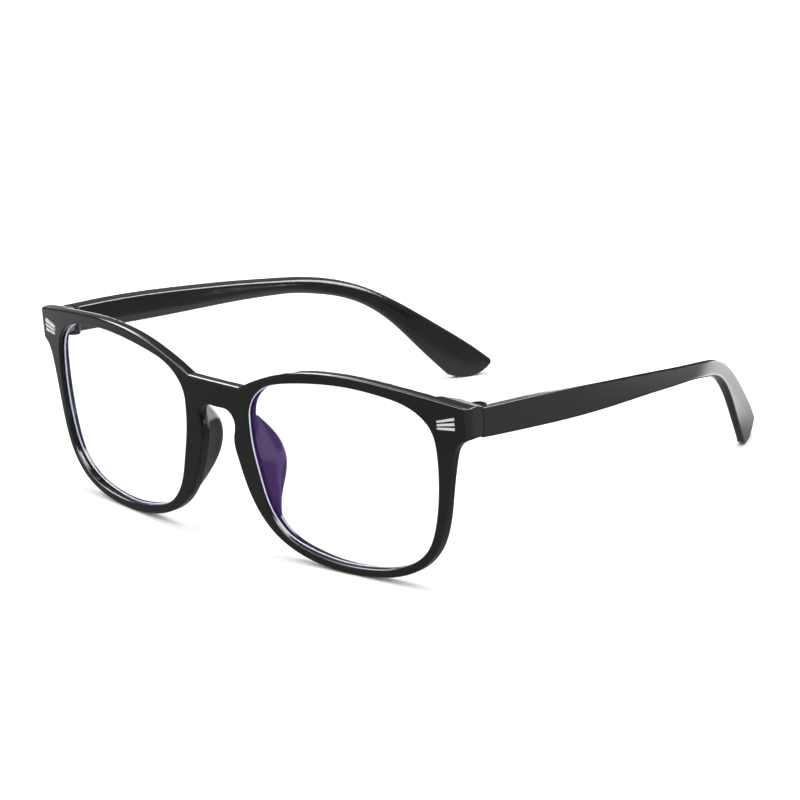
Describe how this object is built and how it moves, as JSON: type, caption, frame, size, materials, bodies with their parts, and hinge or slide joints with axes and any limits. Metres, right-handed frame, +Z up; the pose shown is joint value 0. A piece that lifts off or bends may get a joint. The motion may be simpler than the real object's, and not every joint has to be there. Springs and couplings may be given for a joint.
{
  "type": "blue light glasses",
  "caption": "Full-rim plastic glasses with clear coated lenses, moulded nose pads, metal stud trim and folding curved temples on screw hinges.",
  "frame": {"origin": "middle of the overall box, on the surface that the open glasses stand on", "axes": "+X is the wearer's left, +Y runs back from the front to the temple tips, +Z is up"},
  "size_m": [0.142, 0.1468, 0.0475],
  "materials": {
    "frame_plastic": "polished black",
    "temple_plastic": "polished black",
    "lens": "clear with a faint violet reflection coating",
    "stud_metal": "polished",
    "screw_steel": "plain",
    "insert_brass": "plain"
  },
  "bodies": {
    "front": {"front_frame": "frame_plastic", "lens_left": "lens", "lens_right": "lens", "stud_left": "stud_metal", "stud_right": "stud_metal"},
    "left_temple": {"temple_left": "temple_plastic", "hinge_screw_left": "screw_steel", "hinge_insert_left": "insert_brass"},
    "right_temple": {"temple_right": "temple_plastic", "hinge_screw_right": "screw_steel", "hinge_insert_right": "insert_brass"}
  },
  "joints": [
    {"name": "left_hinge", "type": "hinge", "parent": "front", "child": "left_temple", "pos_m": [0.0669, -0.05716, 0.0398], "axis": [0, 0, 1], "range_deg": [0, 82]},
    {"name": "right_hinge", "type": "hinge", "parent": "front", "child": "right_temple", "pos_m": [-0.0669, -0.05716, 0.0398], "axis": [0, 0, -1], "range_deg": [0, 77]}
  ]
}
